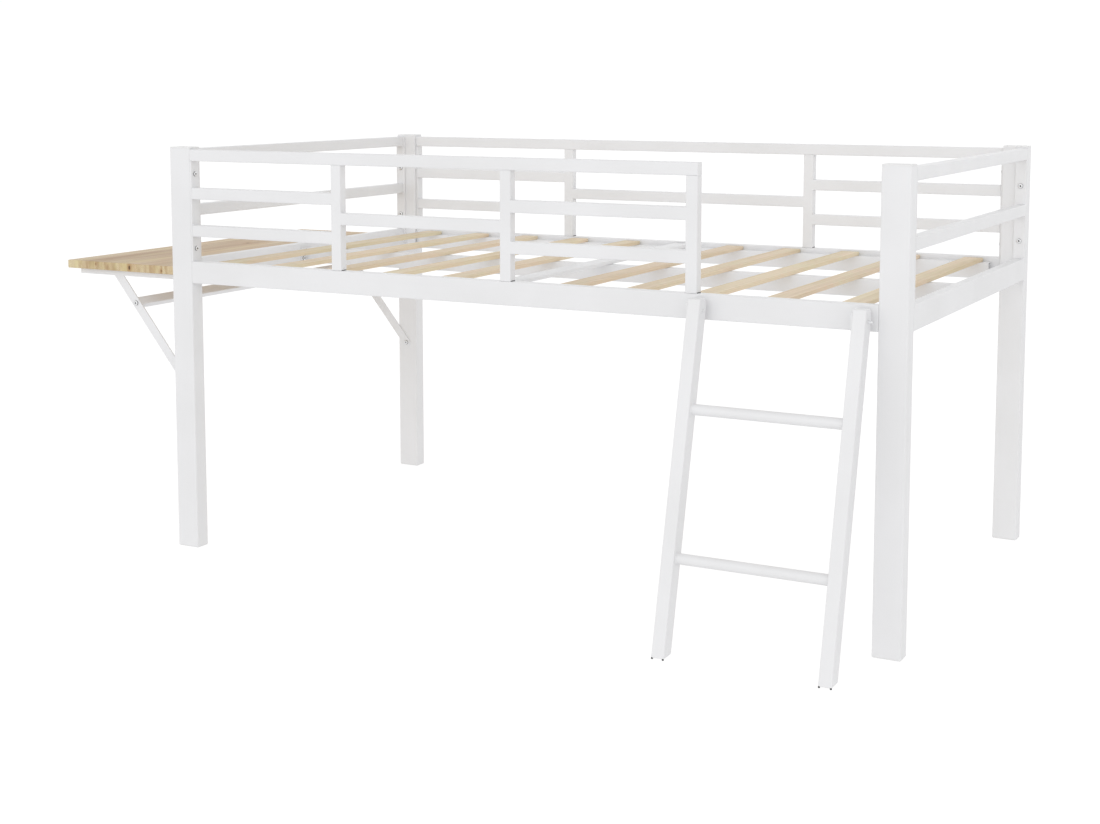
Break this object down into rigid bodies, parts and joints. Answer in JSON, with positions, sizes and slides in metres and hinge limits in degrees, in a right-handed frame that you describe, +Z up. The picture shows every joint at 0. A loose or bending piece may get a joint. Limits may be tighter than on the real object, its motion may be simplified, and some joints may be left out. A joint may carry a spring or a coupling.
{
  "type": "metal loft bed with desk",
  "caption": "Low loft bed of white square steel tube with slatted platform, barred guards, a leaning ladder and a pine desk board on brackets outside one end.",
  "frame": {"origin": "on the floor, in the middle of the outline of bed, desk and ladder seen from above", "axes": "+X along the bed from the desk end to the ladder end, +Y from the ladder side to the far side, +Z up"},
  "size_m": [2.372, 1.365, 1.069],
  "materials": {
    "white_steel": "satin white powder coat",
    "white_plastic": "white moulded plastic",
    "slat_pine": "planed pale pine",
    "board_pine": "glued pine staves, clear satin",
    "bolt_steel": "bright zinc",
    "shoe_rubber": "matt black"
  },
  "bodies": {
    "root": {"post_front_left": "white_steel", "post_front_right": "white_steel", "post_back_left": "white_steel", "post_back_right": "white_steel", "end_frame_left": "white_steel", "end_frame_right": "white_steel", "guard_front": "white_steel", "guard_back": "white_steel", "beam_front": "white_steel", "beam_back": "white_steel", "beam_middle": "white_steel", "cross_member": "white_steel", "ladder": "white_steel", "desk_bracket_front": "white_steel", "desk_bracket_back": "white_steel", "desk_crossbar": "white_steel", "cap_front_left": "white_plastic", "cap_front_right": "white_plastic", "cap_back_left": "white_plastic", "cap_back_right": "white_plastic", "foot_front_left": "white_plastic", "foot_front_right": "white_plastic", "foot_back_left": "white_plastic", "foot_back_right": "white_plastic", "slat_left_1": "slat_pine", "slat_left_2": "slat_pine", "slat_left_3": "slat_pine", "slat_left_4": "slat_pine", "slat_left_5": "slat_pine", "slat_right_1": "slat_pine", "slat_right_2": "slat_pine", "slat_right_3": "slat_pine", "slat_right_4": "slat_pine", "slat_right_5": "slat_pine", "desk_top": "board_pine", "end_bolt_left_front_high": "bolt_steel", "end_bolt_left_front_low": "bolt_steel", "end_bolt_left_back_high": "bolt_steel", "end_bolt_left_back_low": "bolt_steel", "end_bolt_right_front_high": "bolt_steel", "end_bolt_right_front_low": "bolt_steel", "end_bolt_right_back_high": "bolt_steel", "end_bolt_right_back_low": "bolt_steel", "guard_bolt_front_high": "bolt_steel", "guard_bolt_front_low": "bolt_steel", "guard_bolt_back_left_high": "bolt_steel", "guard_bolt_back_left_low": "bolt_steel", "guard_bolt_back_right_high": "bolt_steel", "guard_bolt_back_right_low": "bolt_steel", "middle_bolt_left": "bolt_steel", "middle_bolt_right": "bolt_steel", "ladder_bolt_left": "bolt_steel", "ladder_bolt_right": "bolt_steel", "brace_bolt_front": "bolt_steel", "brace_bolt_back": "bolt_steel", "crossbar_bolt_front": "bolt_steel", "crossbar_bolt_back": "bolt_steel", "ladder_shoe_left": "shoe_rubber", "ladder_shoe_right": "shoe_rubber"}
  },
  "joints": []
}
